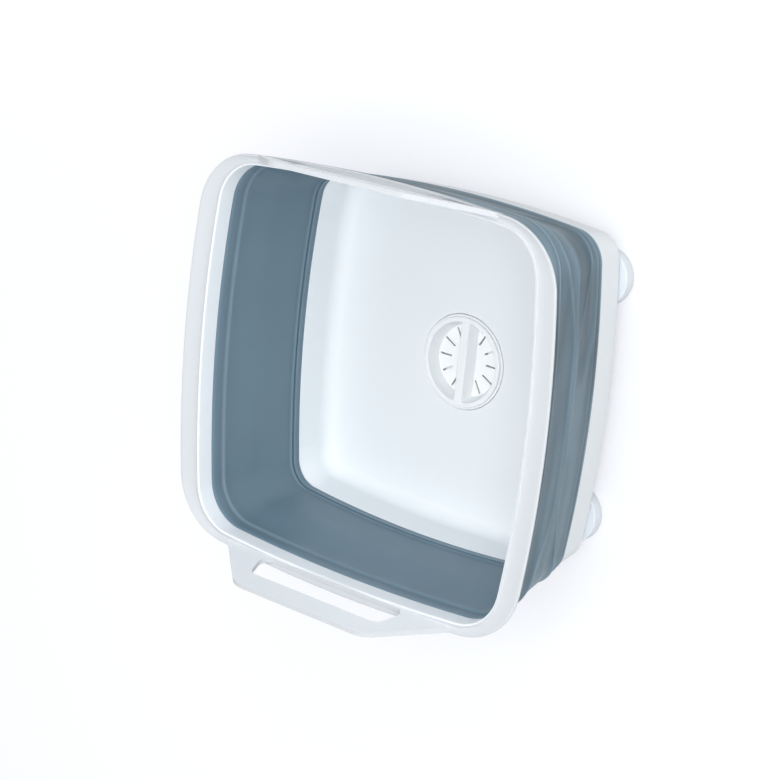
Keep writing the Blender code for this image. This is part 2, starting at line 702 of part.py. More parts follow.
def make_gasket(material):
    """The flat ring under the housing's flange."""
    low = GASKET_TOP_Z - GASKET_THICKNESS
    profile = hollow_profile(DRAIN_HOLE_RADIUS, HOUSING_FLANGE_RADIUS, low, GASKET_TOP_Z)
    return turned_part("housing_gasket", profile, material, closed=True)


def make_seal(material):
    """The slotted disc between the dial and the housing's floor."""
    profile = hollow_profile(RIVET_HOLE_RADIUS, SEAL_RADIUS, SEAL_UNDERSIDE_Z, SEAL_TOP_Z)
    seal = turned_part("seal_disc", profile, material, closed=True)
    slots = slot_cutter("seal_slots", range(DRAIN_SLOTS), SEAL_UNDERSIDE_Z, SEAL_TOP_Z)
    return join(seal, slots, "DIFFERENCE")


def make_nut(material):
    """The notched ring that clamps the housing from below."""
    low = NUT_TOP_Z - NUT_HEIGHT
    profile = hollow_profile(DRAIN_HOLE_RADIUS, NUT_RADIUS, low, NUT_TOP_Z)
    nut = turned_part("lock_nut", profile, material, closed=True)
    notches = spoke_cutter(
        "nut_notches",
        range(NUT_NOTCHES),
        NUT_NOTCHES,
        NUT_RADIUS - NUT_NOTCH_DEPTH,
        NUT_RADIUS + CUT_OVERRUN,
        NUT_NOTCH_WIDTH,
        low - CUT_OVERRUN,
        NUT_TOP_Z + CUT_OVERRUN,
    )
    return join(nut, notches, "DIFFERENCE")


def make_rivet(material):
    """The rivet that holds the dial down and turns with it."""
    profile = [
        (0, RIVET_TIP_Z),
        (RIVET_SHANK_RADIUS - RIVET_TAPER, RIVET_TIP_Z),
        (RIVET_SHANK_RADIUS, RIVET_TIP_Z - RIVET_TAPER),
        (RIVET_SHANK_RADIUS, RIVET_HEAD_Z),
        (RIVET_HEAD_RADIUS, RIVET_HEAD_Z),
        (RIVET_HEAD_RADIUS, RIVET_HEAD_Z - RIVET_HEAD),
        (0, RIVET_HEAD_Z - RIVET_HEAD),
    ]
    return turned_part("dial_rivet", profile, material, steps=SMALL_TURN_STEPS)


clear_scene()
PARTS = new_collection("collapsible_wash_basin")
CUTTERS = new_collection("cutters")

RIM_PLASTIC = plastic("rim_plastic", (0.78, 0.80, 0.82), 0.40)
WALL_RUBBER = plastic("wall_rubber", (0.14, 0.20, 0.25), 0.55)
BASE_PLASTIC = plastic("base_plastic", (0.80, 0.86, 0.92), 0.35)
DRAIN_PLASTIC = plastic("drain_plastic", (0.86, 0.88, 0.90), 0.35)
SEAL_RUBBER = plastic("seal_rubber", (0.30, 0.32, 0.34), 0.70)
FOOT_RUBBER = plastic("foot_rubber", (0.74, 0.78, 0.82), 0.60)
RIVET_PLASTIC = plastic("rivet_plastic", (0.70, 0.72, 0.74), 0.40)

make_rim(RIM_PLASTIC)
make_upper_wall(WALL_RUBBER)
make_lower_wall(WALL_RUBBER)
make_tray(BASE_PLASTIC)
for foot_name, (foot_side_x, foot_side_y) in FOOT_PLACES.items():
    make_foot(foot_name, foot_side_x, foot_side_y, FOOT_RUBBER)
make_dial(DRAIN_PLASTIC)
make_housing(DRAIN_PLASTIC)
make_gasket(SEAL_RUBBER)
make_seal(SEAL_RUBBER)
make_nut(DRAIN_PLASTIC)
make_rivet(RIVET_PLASTIC)
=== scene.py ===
"""Looks of the collapsible wash basin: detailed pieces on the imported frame, materials, light and camera.

Metres, +Z up, in the frame of the CAD model. The rim, the soft wall and the tray are closed rings swept along
the basin's outlines; the feet and the drain's pieces are turned.
"""

import math
from collections import namedtuple

import bmesh
import bpy
from mathutils import Matrix, Vector


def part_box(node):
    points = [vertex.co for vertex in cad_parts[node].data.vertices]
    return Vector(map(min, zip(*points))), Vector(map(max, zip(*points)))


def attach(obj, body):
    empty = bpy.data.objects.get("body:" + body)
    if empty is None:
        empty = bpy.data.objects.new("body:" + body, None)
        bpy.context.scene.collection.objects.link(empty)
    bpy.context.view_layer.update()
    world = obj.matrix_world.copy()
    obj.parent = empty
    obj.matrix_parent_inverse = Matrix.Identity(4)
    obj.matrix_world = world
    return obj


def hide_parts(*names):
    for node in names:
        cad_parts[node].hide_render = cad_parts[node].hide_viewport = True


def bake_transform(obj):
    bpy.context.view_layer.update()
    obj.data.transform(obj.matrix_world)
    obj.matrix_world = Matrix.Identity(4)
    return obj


# Fineness: steps to a side, a corner, a full turn, and a dip at the wall's corners
SIDE_STEPS = 20
CORNER_STEPS = 16
TURN_STEPS = 120
DIP_STEPS = 8

# Heights, as in the CAD model
TRAY_UNDERSIDE_Z = 0.0108
FLOOR_Z = 0.0130
TRAY_TOP_Z = 0.0422
BAND_TOP_Z = 0.0474
FOLD_Z = 0.0794
HEAD_BAND_Z = 0.1127
SKIRT_FOOT_Z = 0.1239
BEAD_Z = 0.1380
FLANGE_Z = 0.1372
FLANGE_EDGE_Z = 0.1394
DIAL_TOP_Z = 0.0156
DIAL_FLANGE_Z = 0.0139
WELL_Z = 0.0060
DIAL_UNDERSIDE_Z = 0.0046
HOUSING_TOP_Z = 0.0136
HOUSING_FLANGE_Z = 0.0120
RECESS_Z = 0.0107
HOUSING_FLOOR_Z = 0.0032
HOUSING_UNDERSIDE_Z = 0.0019
BOSS_Z = 0.0083
FOOT_TOP_Z = 0.0105

# Outlines seen from above: bowed squares with rounded corners
Outline = namedtuple("Outline", "half_x half_y bow_x bow_y radius")
RIM_LINE = Outline(0.1400, 0.1390, 0.0115, 0.0076, 0.0340)
SKIRT_LINE = Outline(0.1387, 0.1377, 0.01129, 0.00746, 0.0327)
FLANGE_LINE = Outline(0.1555, 0.1460, 0.0125, 0.0110, 0.0470)
FOLD_LINE = Outline(0.1326, 0.1300, 0.0070, 0.0084, 0.0270)
TRAY_LINE = Outline(0.1250, 0.1250, 0.0094, 0.0094, 0.0200)

# Rim: the flange's painted shade, a darker copy of the rim's plastic, starts part way round the bead, at the
# step BEAD_SPLIT
SKIRT_HALF = 0.0013
BEAD_STEPS = 12
BEAD_SPLIT = 6
FLANGE_THICKNESS = 0.0022
FLANGE_START = 0.0022
FLANGE_UNDER_START = 0.0040
FLANGE_EDGE_RADIUS = 0.0009
FLANGE_RISE_POWER = 1.5

# Handle, before it leans: corners as x, height above the bead and radius
HANDLE_EDGE = [
    (-0.1020, -0.0019, 0),
    (0.1020, -0.0019, 0),
    (0.0570, 0.0408, 0.0180),
    (-0.0570, 0.0408, 0.0180),
]
HANDLE_SLOT = [
    (-0.0650, 0.0006, 0.0075),
    (0.0650, 0.0006, 0.0075),
    (0.0565, 0.0244, 0.0075),
    (-0.0565, 0.0244, 0.0075),
]
HANDLE_THICKNESS = 0.0034
HANDLE_Y = 0.1399
HANDLE_LEAN = math.radians(10.5)

# Soft wall: its gap below the skirt, its head's height, its offsets, and where its corners start and how far
# they span
WALL_SEAT_GAP = 0.0004
WALL_HEAD_Z = 0.1347
SKIRT_BACK_OFFSET = 0.0029
BAND_STEP = 0.0015
CORNER_START = 0.35
CORNER_SPAN = 0.60

# Soft wall, inner face from the skirt down: heights and offsets from wall_outline
INNER_WALL = [
    (SKIRT_FOOT_Z - WALL_SEAT_GAP, 0.0003),
    (SKIRT_FOOT_Z - 0.0008, 0),
    (0.1200, 0),
    (0.1160, 0),
    (0.1148, 0),
    (0.1142, -0.0001),
    (0.1136, -0.0004),
    (0.1130, -0.0009),
    (0.1125, -0.0014),
    (0.1120, -0.0016),
    (0.1112, -0.0015),
    (0.1098, -0.0011),
    (0.1070, -0.0007),
    (0.1040, -0.0005),
    (0.0990, -0.0005),
    (0.0940, -0.0006),
    (0.0880, -0.0006),
    (0.0820, -0.0005),
    (0.0760, -0.0004),
    (0.0700, -0.0003),
    (0.0640, -0.0002),
    (0.0580, -0.0002),
    (0.0540, -0.0002),
    (0.0520, -0.0003),
    (0.0510, -0.0006),
    (0.0503, -0.0013),
    (0.0498, -0.0014),
    (0.0492, -0.0010),
    (0.0487, 0),
    (0.0485, 0.0005),
    (0.0482, 0.0006),
    (0.0479, 0.0004),
    (0.0477, -0.0003),
    (0.0475, -0.0012),
    (0.0474, 0),
    (0.0465, 0),
    (0.0450, 0),
    (0.0430, 0),
    (TRAY_TOP_Z + 0.0004, 0),
    (TRAY_TOP_Z + 0.0002, 0.0003),
]

# Soft wall, outer face from the tray up: heights, offsets, dips of the corners and fills of the sides
OUTER_WALL = [
    (TRAY_TOP_Z + 0.0002, 0.0027, 0, 0),
    (TRAY_TOP_Z + 0.0005, 0.0031, 0, 0),
    (0.0440, 0.0031, 0, 0),
    (0.0468, 0.0031, 0, 0),
    (0.0476, 0.0020, 0, 0),
    (0.0484, 0.0024, 0, 0),
    (0.0496, 0.0028, 0, 0),
    (0.0505, 0.0026, 0.0002, 0),
    (0.0530, 0.0022, 0.0015, 0),
    (0.0570, 0.0019, 0.0040, 0),
    (0.0620, 0.0017, 0.0075, 0),
    (0.0670, 0.0017, 0.0115, 0),
    (0.0720, 0.0018, 0.0150, 0),
    (0.0755, 0.0021, 0.0180, 0),
    (0.0778, 0.0026, 0.0194, 0),
    (0.0788, 0.0030, 0.0198, -0.0003),
    (0.0794, 0.0033, 0.0200, -0.0005),
    (0.0797, 0.0031, 0.0197, -0.0004),
    (0.0801, 0.0024, 0.0187, 0.0003),
    (0.0806, 0.0018, 0.0150, 0.0009),
    (0.0812, 0.0014, 0.0090, 0.0013),
    (0.0820, 0.0012, 0, 0.0015),
    (0.0828, 0.0012, -0.0090, 0.0015),
    (0.0834, 0.0015, -0.0130, 0.0012),
    (0.0840, 0.0022, -0.0155, 0.0005),
    (0.0845, 0.0028, -0.0162, -0.0001),
    (0.0852, 0.0026, -0.0166, 0),
    (0.0862, 0.0021, -0.0168, 0.0002),
    (0.0880, 0.0016, -0.0166, 0.0003),
    (0.0910, 0.0012, -0.0150, 0.0003),
    (0.0950, 0.0010, -0.0125, 0.0001),
    (0.0990, 0.0009, -0.0090, 0),
    (0.1030, 0.0010, -0.0058, 0),
    (0.1065, 0.0013, -0.0030, 0),
    (0.1090, 0.0017, -0.0010, 0),
    (0.1110, 0.0023, 0, 0),
    (0.1122, 0.0028, 0, 0),
    (0.1132, 0.0033, 0, 0),
    (0.1142, 0.0033, 0, 0),
    (0.1150, 0.0031, 0, 0),
    (0.1180, 0.0036, 0, 0),
    (0.1236, 0.0045, 0, 0),
    (0.1300, 0.0045, 0, 0),
    (0.1340, 0.0045, 0, 0),
    (WALL_HEAD_Z, 0.0040, 0, 0),
]

# Tray
FLOOR_INSET = 0.0035
FLOOR_FILLET = 0.0110
UNDERSIDE_FILLET = 0.0050
TRAY_WALL = 0.0022
LIP_EDGE = 0.0004
DRAIN_HOLE_RADIUS = 0.0327
RECESS_RADIUS = 0.0351
RECESS_EDGE = 0.0004
FLOOR_RINGS = (0.0420, 0.0600, 0.0800)
BOSS_RADIUS = 0.0408

# Feet
FOOT_RADIUS = 0.0198
FOOT_TOP_ROUND = 0.0007
FOOT_BOTTOM_RADIUS = 0.0180
FOOT_BOTTOM_ROUND = 0.0025
FOOT_STEPS = 64

# Drain
SLOT_COUNT = 12
SLOT_START = 0.0152
SLOT_END = 0.0252
DIAL_SLOT_WIDTH = 0.0015
HOUSING_SLOT_WIDTH = 0.0020
BAR_FOOT_HALF = 0.0062
BAR_TOP_HALF = 0.0033
BAR_LENGTH = 0.0664
NUT_GRIPS = 6
NUT_TOP_Z = 0.0080
NUT_UNDERSIDE_Z = 0.0046
CUT_MARGIN = 0.0010
HOUSING_SECTION = [
    (0.0016, HOUSING_FLOOR_Z),
    (0.0281, HOUSING_FLOOR_Z),
    (0.0311, HOUSING_TOP_Z),
    (0.0344, HOUSING_TOP_Z),
    (0.0348, HOUSING_TOP_Z - 0.0004),
    (0.0348, HOUSING_FLANGE_Z),
    (0.0324, HOUSING_FLANGE_Z),
    (0.0324, 0.0043),
    (0.0294, HOUSING_UNDERSIDE_Z),
    (0.0016, HOUSING_UNDERSIDE_Z),
]
NUT_SECTION = [
    (0.0395, NUT_TOP_Z),
    (0.0395, 0.0050),
    (0.0391, NUT_UNDERSIDE_Z),
    (0.0331, NUT_UNDERSIDE_Z),
    (0.0327, 0.0050),
    (0.0327, NUT_TOP_Z),
]

# Textures: scales per metre, heights of bumps, and how far roughness varies each way
MOTTLE_SCALE = 22
GRAIN_SCALE = 900
GRAIN_HEIGHT = 0.0004
WEAR_SCALE = 60
GLOSS_SPREAD = 0.04
CREASE_SCALES = (7, 7, 38)
CREASE_HEIGHT = 0.010

# Light and camera: lamps by name, place, size and power in watts; lengths of the lens in pixels
LAMPS = [
    ("key", (0.90, 0.30, 1.70), 1.0, 15.5),
    ("side", (0.50, 2.20, 1.40), 1.4, 14),
    ("top", (0, 0, 2.00), 1.0, 7),
    ("low", (1.80, 0.10, 0.60), 1.0, 7.5),
]
LAMP_TARGET = (0, 0, 0.05)
SKY_LIGHT = 0.62
FLOOR_HALF = 6
FLOOR_GREY = 0.45
FLOOR_GLOW = 0.56
PICTURE_SIZE = 780
FOCAL_LENGTH = 1999.87
CAMERA_PLACE = (0.7843, 0.3785, 1.1541)
CAMERA_AXES = (
    (0.78204, 0.09702, -0.61564),
    (-0.24766, 0.95484, -0.16413),
    (0.57191, 0.28082, 0.77075),
)

BODY_BASE = "base"
BODY_RIM = "rim"
BODY_DIAL = "dial"

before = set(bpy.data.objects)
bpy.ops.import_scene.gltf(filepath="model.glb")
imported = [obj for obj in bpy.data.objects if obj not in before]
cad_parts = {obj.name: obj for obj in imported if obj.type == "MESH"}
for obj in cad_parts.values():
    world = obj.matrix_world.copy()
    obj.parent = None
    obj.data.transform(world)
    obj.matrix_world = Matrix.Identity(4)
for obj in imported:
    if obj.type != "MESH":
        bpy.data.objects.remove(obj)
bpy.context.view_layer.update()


# Outlines and rings


def grown(outline, amount):
    """An outline moved outwards, its sides bowed as much as before."""
    half_x = outline.half_x + amount
    half_y = outline.half_y + amount
    return Outline(
        half_x,
        half_y,
        outline.bow_x * (half_y / outline.half_y) ** 2,
        outline.bow_y * (half_x / outline.half_x) ** 2,
        outline.radius + amount,
    )


def blended(low, high, share):
    return Outline(*(a + (b - a) * share for a, b in zip(low, high)))


def arc(centre, radius, start, end, steps):
    points = []
    for step in range(steps + 1):
        angle = start + (end - start) * step / steps
        points.append(Vector(centre) + radius * Vector((math.cos(angle), math.sin(angle))))
    return points


def quarter_points(outline):
    """A quarter of an outline from +X to +Y: half a side, the corner and half the next side."""
    side_radius = (outline.half_y**2 + outline.bow_x**2) / (2 * outline.bow_x)
    end_radius = (outline.half_x**2 + outline.bow_y**2) / (2 * outline.bow_y)
    side_centre = Vector((outline.half_x - side_radius, 0))
    end_centre = Vector((0, outline.half_y - end_radius))
    side_reach = side_radius - outline.radius
    end_reach = end_radius - outline.radius
    between = end_centre - side_centre
    along = (side_reach**2 - end_reach**2 + between.length_squared) / (2 * between.length)
    across = math.sqrt(side_reach**2 - along**2)
    direction = between.normalized()
    normal = Vector((-direction.y, direction.x))
    crossings = [side_centre + along * direction + turn * across * normal for turn in (-1, 1)]
    corner = max(crossings, key=lambda point: point.x + point.y)
    corner_start = math.atan2(corner.y - side_centre.y, corner.x - side_centre.x)
    corner_end = math.atan2(corner.y - end_centre.y, corner.x - end_centre.x)
    side = arc(side_centre, side_radius, 0, corner_start, SIDE_STEPS)
    bend = arc(corner, outline.radius, corner_start, corner_end, CORNER_STEPS)
    end = arc(end_centre, end_radius, corner_end, math.pi / 2, SIDE_STEPS)
    return side[:-1] + bend[:-1] + end


def ring(outline, z):
    quarter = quarter_points(outline)
    half = quarter + [Vector((-point.x, point.y)) for point in reversed(quarter[:-1])]
    whole = half + [Vector((point.x, -point.y)) for point in reversed(half[1:-1])]
    return [Vector((point.x, point.y, z)) for point in whole]


def round_ring(radius, z):
    """A circle with as many points as a ring, in the same directions."""
    circle = [point.normalized() * radius for point in ring(TRAY_LINE, 0)]
    return [Vector((point.x, point.y, z)) for point in circle]


def rings_along(outline, section):
    """Rings from pairs of an offset from the outline and a height."""
    return [ring(grown(outline, offset), z) for offset, z in section]


# Meshes and pieces


def finished_mesh(shape, name):
    mesh = bpy.data.meshes.new(name)
    shape.to_mesh(mesh)
    shape.free()
    return mesh


def loft(name, rings):
    """A closed mesh through rings, the last one joined to the first."""
    shape = bmesh.new()
    rows = [[shape.verts.new(point) for point in points] for points in rings]
    for row, following in zip(rows, rows[1:] + rows[:1]):
        for index, corner in enumerate(row):
            ahead = (index + 1) % len(row)
            shape.faces.new((corner, row[ahead], following[ahead], following[index]))
    bmesh.ops.recalc_face_normals(shape, faces=shape.faces)
    return finished_mesh(shape, name)


def lathe(name, profile, closed=False, steps=TURN_STEPS):
    """A turned mesh from pairs of radius and height."""
    shape = bmesh.new()
    rows = []
    for radius, z in profile:
        if radius == 0:
            rows.append([shape.verts.new((0, 0, z))])
            continue
        row = []
        for step in range(steps):
            angle = 2 * math.pi * step / steps
            row.append(shape.verts.new((radius * math.cos(angle), radius * math.sin(angle), z)))
        rows.append(row)
    pairs = list(zip(rows, rows[1:]))
    if closed:
        pairs.append((rows[-1], rows[0]))
    for upper, lower in pairs:
        for index in range(steps):
            ahead = (index + 1) % steps
            corners = []
            for row, places in ((upper, (index, ahead)), (lower, (ahead, index))):
                if len(row) == 1:
                    corners.append(row[0])
                else:
                    corners += [row[place] for place in places]
            if len(corners) > 2:
                shape.faces.new(corners)
    bmesh.ops.recalc_face_normals(shape, faces=shape.faces)
    return finished_mesh(shape, name)


def rounded(corners, steps):
    """A closed outline from corners given as x, y and radius."""
    outline = []
    for index, (x, y, radius) in enumerate(corners):
        corner = Vector((x, y, 0))
        if radius == 0:
            outline.append(corner)
            continue
        before = (Vector((*corners[index - 1][:2], 0)) - corner).normalized()
        after = (Vector((*corners[(index + 1) % len(corners)][:2], 0)) - corner).normalized()
        half_angle = before.angle(after) / 2
        centre = corner + (before + after).normalized() * radius / math.sin(half_angle)
        reach = radius / math.tan(half_angle)
        first = (corner + before * reach - centre).normalized()
        last = (corner + after * reach - centre).normalized()
        for step in range(steps + 1):
            outline.append(centre + radius * first.slerp(last, step / steps))
    return outline


def plate_mesh(name, outlines, thickness):
    """A flat plate from closed outlines, the later ones being its holes."""
    curve = bpy.data.curves.new(name, "CURVE")
    curve.dimensions = "2D"
    curve.fill_mode = "BOTH"
    curve.extrude = thickness / 2
    for outline in outlines:
        spline = curve.splines.new("POLY")
        spline.points.add(len(outline) - 1)
        for point, place in zip(spline.points, outline):
            point.co = (*place, 1)
        spline.use_cyclic_u = True
    drawn = bpy.data.objects.new(name, curve)
    bpy.context.scene.collection.objects.link(drawn)
    bpy.context.view_layer.update()
    mesh = bpy.data.meshes.new_from_object(drawn.evaluated_get(bpy.context.evaluated_depsgraph_get()))
    bpy.data.objects.remove(drawn, do_unlink=True)
    shape = bmesh.new()
    shape.from_mesh(mesh)
    bmesh.ops.remove_doubles(shape, verts=shape.verts, dist=0.00001)
    shape.to_mesh(mesh)
    shape.free()
    return mesh


def smooth(mesh, sharp=35):
    """Shade a mesh smooth, apart from edges sharper than an angle in degrees."""
    mesh.shade_smooth()
    mesh.set_sharp_from_angle(angle=math.radians(sharp))


def add_piece(name, mesh, material, sharp=35):
    mesh.materials.clear()
    mesh.materials.append(material)
    smooth(mesh, sharp)
    piece = bpy.data.objects.new(name, mesh)
    bpy.context.scene.collection.objects.link(piece)
    return piece


def add_painted_shade(mesh, material, chosen):
    """Give a mesh a second material, a darker copy as painted shade, on the faces that a test picks."""
    mesh.materials.append(material)
    for face in mesh.polygons:
        if chosen(face):
            face.material_index = 1


def apply_modifiers(piece):
    graph = bpy.context.evaluated_depsgraph_get()
    mesh = bpy.data.meshes.new_from_object(piece.evaluated_get(graph))
    piece.modifiers.clear()
    piece.data = mesh


def combine(piece, mesh, operation):
    """Cut a piece with a mesh, or join them, for good."""
    other = bpy.data.objects.new("other", mesh)
    bpy.context.scene.collection.objects.link(other)
    modifier = piece.modifiers.new("combine", "BOOLEAN")
    modifier.operation = operation
    modifier.solver = "EXACT"
    modifier.object = other
    apply_modifiers(piece)
    bpy.data.objects.remove(other, do_unlink=True)


# Materials


def new_material(name):
    material = bpy.data.materials.new(name)
    material.use_nodes = True
    return material, material.node_tree.nodes, material.node_tree.links


def noise(nodes, links, place, scale, detail, distortion=0):
    texture = nodes.new("ShaderNodeTexNoise")
    texture.inputs["Scale"].default_value = scale
    texture.inputs["Detail"].default_value = detail
    texture.inputs["Distortion"].default_value = distortion
    links.new(place, texture.inputs["Vector"])
    return texture.outputs["Fac"]


def ranged(nodes, links, value, low, high, start, end):
    """A value that goes from low to high, mapped so that it goes from start to end."""
    mapped = nodes.new("ShaderNodeMapRange")
    mapped.inputs["From Min"].default_value = low
    mapped.inputs["From Max"].default_value = high
    mapped.inputs["To Min"].default_value = start
    mapped.inputs["To Max"].default_value = end
    links.new(value, mapped.inputs["Value"])
    return mapped.outputs["Result"]


def scaled(nodes, links, colour, factor):
    scaling = nodes.new("ShaderNodeVectorMath")
    scaling.operation = "SCALE"
    links.new(colour, scaling.inputs["Vector"])
    links.new(factor, scaling.inputs["Scale"])
    return scaling.outputs["Vector"]


def bumped(nodes, links, height, strength, distance):
    relief = nodes.new("ShaderNodeBump")
    relief.inputs["Strength"].default_value = strength
    relief.inputs["Distance"].default_value = distance
    links.new(height, relief.inputs["Height"])
    return relief


def plastic(name, colour, shade, roughness, bump, specular=0.5, edges=0.0, creases=0.0):
    """A moulded plastic or rubber with mottling, fine grain and uneven gloss.

    The mottling goes down to a shade of the colour. Edges are paler and hollows darker by the share given, as a
    painted highlight on edges and painted shade in hollows. Creases are long and level, as of rubber that has
    been folded; along them the colour is paler and darker in streaks, a painted sheen and shade.
    """
    material, nodes, links = new_material(name)
    shader = nodes["Principled BSDF"]
    shader.inputs["Metallic"].default_value = 0
    shader.inputs["IOR"].default_value = 1.49
    shader.inputs["Specular IOR Level"].default_value = specular
    place = nodes.new("ShaderNodeTexCoord").outputs["Object"]
    tone = nodes.new("ShaderNodeMix")
    tone.data_type = "RGBA"
    tone.inputs["A"].default_value = (*[value * shade for value in colour], 1)
    tone.inputs["B"].default_value = (*colour, 1)
    links.new(noise(nodes, links, place, MOTTLE_SCALE, 4), tone.inputs["Factor"])
    paint = tone.outputs["Result"]
    grain = noise(nodes, links, place, GRAIN_SCALE, 2)
    relief = bumped(nodes, links, grain, bump, GRAIN_HEIGHT)
    if edges:
        # Paler on edges and darker in hollows: painted highlight and painted shade
        pointiness = nodes.new("ShaderNodeNewGeometry").outputs["Pointiness"]
        edge_highlight_hollow_shade = ranged(nodes, links, pointiness, 0.45, 0.55, 1 - edges, 1 + edges)
        paint = scaled(nodes, links, paint, edge_highlight_hollow_shade)
    if creases:
        stretched = nodes.new("ShaderNodeVectorMath")
        stretched.operation = "MULTIPLY"
        stretched.inputs[1].default_value = CREASE_SCALES
        links.new(place, stretched.inputs[0])
        folds = noise(nodes, links, stretched.outputs["Vector"], 1, 0.5, distortion=0.9)
        # Paler and darker streaks along the creases: painted sheen and painted shade
        crease_sheen_and_shade = ranged(nodes, links, folds, 0.35, 0.65, 1 - 0.25 * creases, 1 + 0.45 * creases)
        paint = scaled(nodes, links, paint, crease_sheen_and_shade)
        bent = bumped(nodes, links, folds, creases, CREASE_HEIGHT)
        links.new(relief.outputs["Normal"], bent.inputs["Normal"])
        relief = bent
    wear = noise(nodes, links, place, WEAR_SCALE, 6)
    gloss = ranged(nodes, links, wear, 0.3, 0.7, roughness - GLOSS_SPREAD, roughness + GLOSS_SPREAD)
    links.new(paint, shader.inputs["Base Color"])
    links.new(gloss, shader.inputs["Roughness"])
    links.new(relief.outputs["Normal"], shader.inputs["Normal"])
    return material


RIM_PLASTIC = plastic("rim_plastic", (0.80, 0.84, 0.88), 0.97, 0.45, bump=0.05)
# A darker copy of the rim's plastic for the flange, the bead's top and the handles' edges: painted shade where
# most light falls
RIM_PLASTIC_PAINTED_SHADE = plastic("rim_plastic_painted_shade", (0.582, 0.614, 0.647), 0.97, 0.66, bump=0.05, specular=0.3)
# edges: painted highlight on the wall's edges and painted shade in its hollows
WALL_RUBBER = plastic(
    "wall_rubber", (0.135, 0.210, 0.267), 0.88, 0.40, bump=0.10, specular=0.38, edges=0.30
)
# The soft wall's rubber again, darker, for its outer face: painted shade, with painted highlight on edges and
# painted sheen along creases
CREASED_RUBBER_PAINTED_SHADE = plastic(
    "creased_rubber_painted_shade", (0.128, 0.190, 0.234), 0.86, 0.42, bump=0.10, specular=0.24, edges=0.90, creases=0.8
)
BASE_PLASTIC = plastic("base_plastic", (0.81, 0.85, 0.88), 0.985, 0.60, bump=0.03, specular=0.25)
DRAIN_PLASTIC = plastic("drain_plastic", (0.86, 0.885, 0.90), 0.985, 0.36, bump=0.03)
SEAL_RUBBER = plastic("seal_rubber", (0.70, 0.73, 0.75), 0.95, 0.70, bump=0.10)
FOOT_RUBBER = plastic("foot_rubber", (0.74, 0.79, 0.84), 0.96, 0.55, bump=0.10)


# Rim and handles


def flange_rise(share):
    """How far the dished flange has risen at a share of its width."""
    return (FLANGE_EDGE_Z - FLANGE_Z) * share**FLANGE_RISE_POWER


def rim_section():
    """Rings once round the rim's section: the skirt and bead, the dished flange, and the skirt's back."""
    bead = arc((0, BEAD_Z - SKIRT_HALF), SKIRT_HALF, math.pi, math.radians(25), BEAD_STEPS)
    front = [(-0.0010, SKIRT_FOOT_Z), (-SKIRT_HALF, SKIRT_FOOT_Z + 0.0003), (-SKIRT_HALF, SKIRT_FOOT_Z + 0.006)]
    # The bead's top goes with the flange's rings, to take the darker copy: painted shade
    skirt = rings_along(RIM_LINE, [*front, *bead[:BEAD_SPLIT]])
    flange = rings_along(RIM_LINE, bead[BEAD_SPLIT:])
    edge = grown(FLANGE_LINE, -FLANGE_EDGE_RADIUS)
    for share in [step / 6 for step in range(7)]:
        outline = blended(grown(RIM_LINE, FLANGE_START), edge, share)
        flange.append(ring(outline, FLANGE_Z + flange_rise(share) - 0.0001))
    high = (-FLANGE_EDGE_RADIUS, FLANGE_EDGE_Z - 0.0010)
    flange += rings_along(FLANGE_LINE, arc(high, FLANGE_EDGE_RADIUS, 1.2, 0, 4))
    low = (-FLANGE_EDGE_RADIUS, FLANGE_EDGE_Z - FLANGE_THICKNESS + FLANGE_EDGE_RADIUS)
    flange += rings_along(FLANGE_LINE, arc(low, FLANGE_EDGE_RADIUS, 0, -math.pi / 2, 5))
    for share in [1 - step / 5 for step in range(1, 6)]:
        outline = blended(grown(RIM_LINE, FLANGE_UNDER_START), edge, share)
        flange.append(ring(outline, FLANGE_Z - FLANGE_THICKNESS + flange_rise(share)))
    back_top = FLANGE_Z - FLANGE_THICKNESS - 0.0015
    back = rings_along(RIM_LINE, [(SKIRT_HALF, back_top), (SKIRT_HALF, SKIRT_FOOT_Z)])
    return skirt, flange, back


def add_handle(side):
    """The handle on the back for side 1, or on the front for side -1."""
    name = "handle_back" if side > 0 else "handle_front"
    outlines = [rounded(HANDLE_EDGE, 16), rounded(HANDLE_SLOT, 10)]
    handle = add_piece(name, plate_mesh("handle", outlines, HANDLE_THICKNESS), RIM_PLASTIC)
    bevel = handle.modifiers.new("edges", "BEVEL")
    bevel.width = 0.0010
    bevel.segments = 4
    bevel.limit_method = "ANGLE"
    bevel.angle_limit = math.radians(60)
    bevel.harden_normals = True
    apply_modifiers(handle)
    facing = 0 if side > 0 else math.pi
    place = Matrix.Translation((0, side * HANDLE_Y, BEAD_Z)) @ Matrix.Rotation(facing, 4, "Z")
    handle.data.transform(place @ Matrix.Rotation(math.pi / 2 - HANDLE_LEAN, 4, "X"))
    # The handle's edges get the darker copy of the plastic: painted shade
    add_painted_shade(handle.data, RIM_PLASTIC_PAINTED_SHADE, lambda face: abs(face.normal.y) < 0.7)
    return handle


skirt_rings, flange_rings, back_rings = rim_section()
rim = add_piece("rim", loft("rim", skirt_rings + flange_rings + back_rings), RIM_PLASTIC)
ring_points = len(skirt_rings[0])
flange_start = len(skirt_rings) * ring_points
flange_end = flange_start + len(flange_rings) * ring_points
# The flange and the bead's top get the darker copy of the plastic: painted shade
add_painted_shade(rim.data, RIM_PLASTIC_PAINTED_SHADE, lambda face: flange_start <= face.index < flange_end)
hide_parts("rim_frame")
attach(rim, BODY_RIM)
for handle_side in (-1, 1):
    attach(add_handle(handle_side), BODY_RIM)


# Soft wall, one moulding from the tray's edge to the flange


